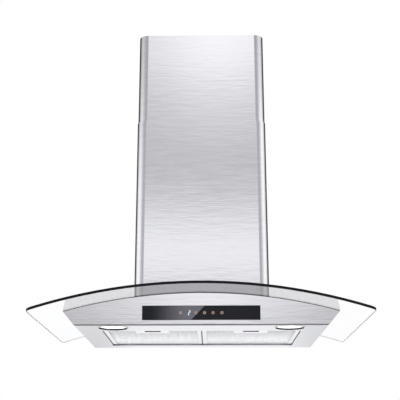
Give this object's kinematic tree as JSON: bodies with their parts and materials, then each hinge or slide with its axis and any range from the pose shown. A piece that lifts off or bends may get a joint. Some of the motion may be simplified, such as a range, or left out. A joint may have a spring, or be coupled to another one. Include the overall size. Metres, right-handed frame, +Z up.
{
  "type": "wall mount range hood",
  "caption": "Wall-mounted range hood with an arched glass canopy, a slim steel body with touch controls, lamps and tilting mesh filters, and a two-part chimney over a blower.",
  "frame": {"origin": "centre of the rectangle of the wall bolts, on the wall's face", "axes": "+X to the right for someone facing the hood, +Y into the wall, +Z up"},
  "size_m": [0.75, 0.5, 0.7828],
  "materials": {
    "steel": "brushed stainless steel with a horizontal grain",
    "canopy_glass": "clear toughened glass with dark polished edges",
    "gasket": "matt black rubber",
    "fastener": "zinc-plated steel",
    "black_plastic": "fine-grained black plastic",
    "control_glass": "black back-printed glass with copper-coloured touch spots",
    "board": "glass-fibre board with green lacquer",
    "bezel": "bright plated ring",
    "lens": "white diffusing lens, lit",
    "lamp_body": "cast aluminium heat sink",
    "galvanised": "galvanised sheet with a faint spangle",
    "motor_case": "grey enamelled steel",
    "laminations": "stacked electrical steel",
    "copper": "lacquered copper wire",
    "bright_steel": "ground steel",
    "wheel": "satin aluminium",
    "capacitor": "light grey plastic can",
    "filter_aluminium": "satin aluminium",
    "latch_plastic": "grey plastic"
  },
  "bodies": {
    "canopy": {"body_shell": "steel", "deck_plate": "steel", "underside_panel": "steel", "glass_canopy": "canopy_glass", "glass_gasket": "gasket", "glass_screws": "fastener", "glass_washers": "black_plastic", "control_glass": "control_glass", "touch_board": "board", "control_case": "black_plastic", "control_nuts": "fastener", "lamp_bezel_left": "bezel", "lamp_bezel_right": "bezel", "lamp_lens_left": "lens", "lamp_lens_right": "lens", "lamp_module_left": "lamp_body", "lamp_module_right": "lamp_body", "lamp_clips": "bright_steel", "blower_box": "galvanised", "casing_screws": "fastener", "scroll_housing": "galvanised", "inlet_ring_left": "galvanised", "inlet_ring_right": "galvanised", "fan_screws": "fastener", "motor_bracket": "galvanised", "motor_housing": "motor_case", "motor_end_cap": "motor_case", "motor_stator": "laminations", "motor_windings": "copper", "motor_bearings": "bright_steel", "outlet_collar": "galvanised", "damper_pins": "bright_steel", "power_box": "galvanised", "power_board": "board", "cable_gland": "black_plastic", "capacitor": "capacitor", "lower_chimney": "steel", "chimney_brackets": "galvanised", "chimney_screws": "fastener"},
    "fan": {"fan_wheel": "wheel", "fan_hub": "bright_steel", "motor_shaft": "bright_steel", "motor_rotor": "laminations"},
    "damper_front": {"damper_flap_front": "wheel"},
    "damper_rear": {"damper_flap_rear": "wheel"},
    "filter_left": {"filter_frame_left": "filter_aluminium", "filter_mesh_left": "filter_aluminium", "filter_core_left": "filter_aluminium", "latch_housing_left": "latch_plastic", "latch_spring_left": "bright_steel"},
    "filter_right": {"filter_frame_right": "filter_aluminium", "filter_mesh_right": "filter_aluminium", "filter_core_right": "filter_aluminium", "latch_housing_right": "latch_plastic", "latch_spring_right": "bright_steel"},
    "filter_latch_left": {"latch_left": "black_plastic"},
    "filter_latch_right": {"latch_right": "black_plastic"},
    "chimney_top": {"upper_chimney": "steel", "ceiling_bracket": "galvanised", "bracket_screws": "fastener"}
  },
  "joints": [
    {"name": "fan_spin", "type": "hinge", "parent": "canopy", "child": "fan", "pos_m": [0, -0.1, 0.0315], "axis": [-1, 0, 0], "continuous": true},
    {"name": "damper_front_swing", "type": "hinge", "parent": "canopy", "child": "damper_front", "pos_m": [0, -0.15016, 0.1915], "axis": [-1, 0, 0], "range_deg": [0, 80]},
    {"name": "damper_rear_swing", "type": "hinge", "parent": "canopy", "child": "damper_rear", "pos_m": [0, -0.14217, 0.1915], "axis": [1, 0, 0], "range_deg": [0, 80]},
    {"name": "filter_left_swing", "type": "hinge", "parent": "canopy", "child": "filter_left", "pos_m": [-0.117, -0.0426, -0.1565], "axis": [1, 0, 0], "range_deg": [0, 45]},
    {"name": "filter_right_swing", "type": "hinge", "parent": "canopy", "child": "filter_right", "pos_m": [0.117, -0.0426, -0.1565], "axis": [1, 0, 0], "range_deg": [0, 45]},
    {"name": "latch_left_pull", "type": "slide", "parent": "filter_left", "child": "filter_latch_left", "axis": [0, 1, 0], "range_m": [0, 0.006], "stiffness_N_per_m": 300, "springref_m": -0.003, "deforming": ["latch_spring_left"]},
    {"name": "latch_right_pull", "type": "slide", "parent": "filter_right", "child": "filter_latch_right", "axis": [0, 1, 0], "range_m": [0, 0.006], "stiffness_N_per_m": 300, "springref_m": -0.003, "deforming": ["latch_spring_right"]},
    {"name": "chimney_slide", "type": "slide", "parent": "canopy", "child": "chimney_top", "axis": [0, 0, 1], "range_m": [-0.22, 0.11]}
  ]
}
